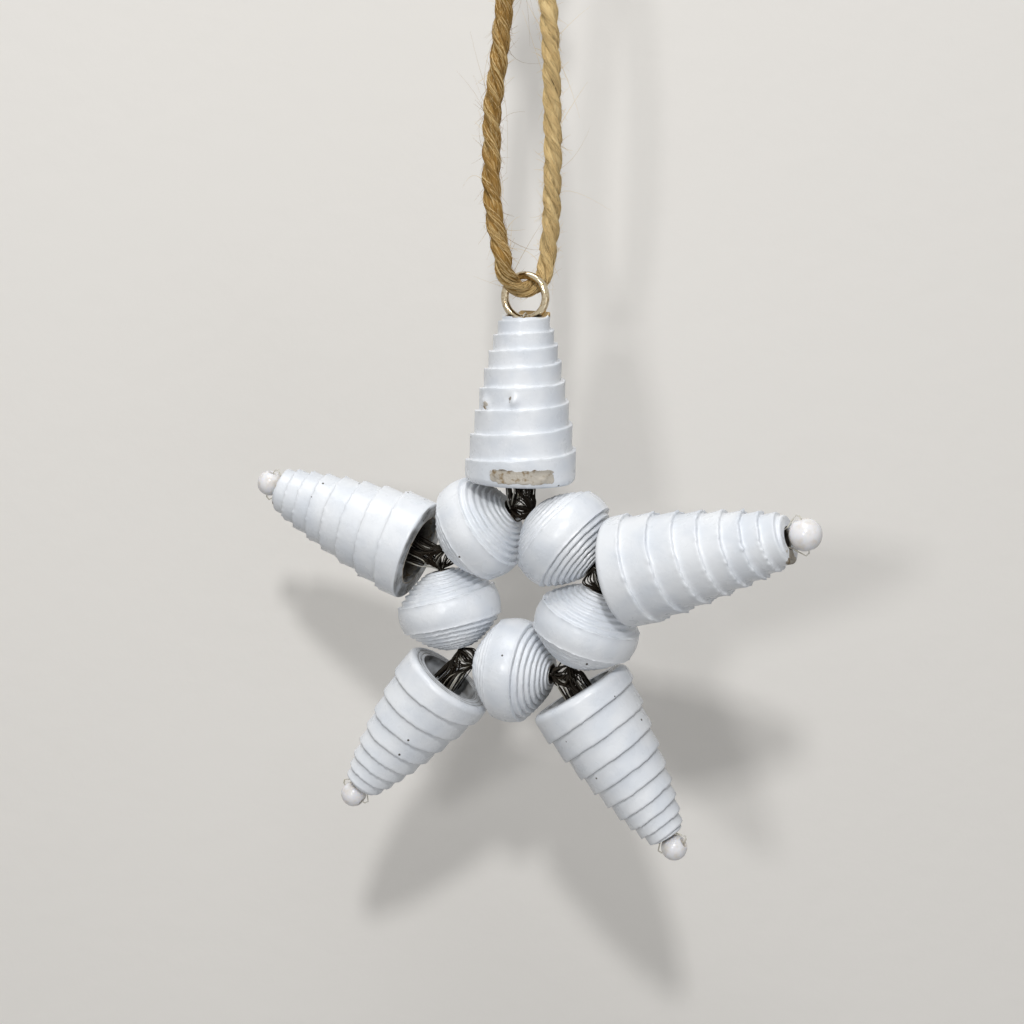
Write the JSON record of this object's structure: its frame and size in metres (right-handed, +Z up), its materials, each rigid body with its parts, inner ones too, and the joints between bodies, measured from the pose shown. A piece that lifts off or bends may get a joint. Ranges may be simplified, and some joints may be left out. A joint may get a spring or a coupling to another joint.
{
  "type": "cardboard star ornament",
  "caption": "Hanging five-pointed star of rolled card cones and round rolled card beads, painted white, strung on clear line and hung from a jute loop.",
  "frame": {"origin": "the point where a hook holds it, between the two strands at the top of the twine loop, under the knot", "axes": "+Z up, the star lies in the XZ plane and faces -Y, +X is to the right as the front is seen"},
  "size_m": [0.0943, 0.0204, 0.1672],
  "materials": {
    "painted_card": "gloss white paint",
    "stop_bead": "pearly gloss",
    "ring_wire": "polished",
    "clear_line": "clear nylon",
    "jute_twine": "rough plied"
  },
  "bodies": {
    "hanging_loop": {"twine_loop": "jute_twine", "twine_knot": "jute_twine"},
    "ring": {"hanging_ring": "ring_wire"},
    "string": {"stringing_line": "clear_line", "line_knot": "clear_line"},
    "ray_top": {"ray_top": "painted_card"},
    "ray_upper_left": {"ray_upper_left": "painted_card"},
    "ray_lower_left": {"ray_lower_left": "painted_card"},
    "ray_lower_right": {"ray_lower_right": "painted_card"},
    "ray_upper_right": {"ray_upper_right": "painted_card"},
    "bead_upper_left": {"bead_upper_left": "painted_card"},
    "bead_left": {"bead_left": "painted_card"},
    "bead_bottom": {"bead_bottom": "painted_card"},
    "bead_right": {"bead_right": "painted_card"},
    "bead_upper_right": {"bead_upper_right": "painted_card"},
    "tip_bead_upper_left": {"tip_bead_upper_left": "stop_bead"},
    "tip_bead_lower_left": {"tip_bead_lower_left": "stop_bead"},
    "tip_bead_lower_right": {"tip_bead_lower_right": "stop_bead"},
    "tip_bead_upper_right": {"tip_bead_upper_right": "stop_bead"}
  },
  "joints": [
    {"name": "ring_swing", "type": "hinge", "parent": "hanging_loop", "child": "ring", "pos_m": [0, 0, -0.06], "axis": [0.45, 0.893, 0], "range_deg": [-25, 25]},
    {"name": "star_rock", "type": "hinge", "parent": "ring", "child": "string", "pos_m": [0, 0, -0.06467], "axis": [1, 0, 0], "range_deg": [-15, 15]},
    {"name": "ray_top_turn", "type": "hinge", "parent": "string", "child": "ray_top", "pos_m": [-0.00067, 0, -0.09018], "axis": [0.0262, 0, 0.9997], "continuous": true},
    {"name": "ray_upper_left_turn", "type": "hinge", "parent": "string", "child": "ray_upper_left", "pos_m": [-0.01784, -0.00093, -0.10209], "axis": [-0.9354, -0.0523, 0.3497], "continuous": true},
    {"name": "ray_lower_left_turn", "type": "hinge", "parent": "string", "child": "ray_lower_left", "pos_m": [-0.01209, -0.00217, -0.12225], "axis": [-0.6138, -0.1219, -0.78], "continuous": true},
    {"name": "ray_lower_right_turn", "type": "hinge", "parent": "string", "child": "ray_lower_right", "pos_m": [0.00856, 0.00093, -0.12327], "axis": [0.5439, 0.0523, -0.8375], "continuous": true},
    {"name": "ray_upper_right_turn", "type": "hinge", "parent": "string", "child": "ray_upper_right", "pos_m": [0.01609, -0.00125, -0.10355], "axis": [0.9613, -0.0698, 0.2666], "continuous": true},
    {"name": "bead_upper_left_turn", "type": "hinge", "parent": "string", "child": "bead_upper_left", "pos_m": [-0.00774, 0, -0.09817], "axis": [0.8387, 0, 0.5446], "continuous": true},
    {"name": "bead_left_turn", "type": "hinge", "parent": "string", "child": "bead_left", "pos_m": [-0.01285, 0, -0.11147], "axis": [-0.2588, 0, 0.9659], "continuous": true},
    {"name": "bead_bottom_turn", "type": "hinge", "parent": "string", "child": "bead_bottom", "pos_m": [-0.00178, 0, -0.12043], "axis": [-0.9986, 0, 0.0523], "continuous": true},
    {"name": "bead_right_turn", "type": "hinge", "parent": "string", "child": "bead_right", "pos_m": [0.01017, 0, -0.11267], "axis": [-0.3584, 0, -0.9336], "continuous": true},
    {"name": "bead_upper_right_turn", "type": "hinge", "parent": "string", "child": "bead_upper_right", "pos_m": [0.00648, 0, -0.09891], "axis": [0.7771, 0, -0.6293], "continuous": true},
    {"name": "tip_bead_upper_left_turn", "type": "hinge", "parent": "string", "child": "tip_bead_upper_left", "pos_m": [-0.04413, -0.0024, -0.09226], "axis": [0.3502, 0, 0.9367], "continuous": true},
    {"name": "tip_bead_lower_left_turn", "type": "hinge", "parent": "string", "child": "tip_bead_lower_left", "pos_m": [-0.02806, -0.00534, -0.14254], "axis": [-0.7859, 0, 0.6184], "continuous": true},
    {"name": "tip_bead_lower_right_turn", "type": "hinge", "parent": "string", "child": "tip_bead_lower_right", "pos_m": [0.02441, 0.00246, -0.14767], "axis": [-0.8387, 0, -0.5446], "continuous": true},
    {"name": "tip_bead_upper_right_turn", "type": "hinge", "parent": "string", "child": "tip_bead_upper_right", "pos_m": [0.04562, -0.00339, -0.09536], "axis": [0.2672, 0, -0.9636], "continuous": true}
  ]
}
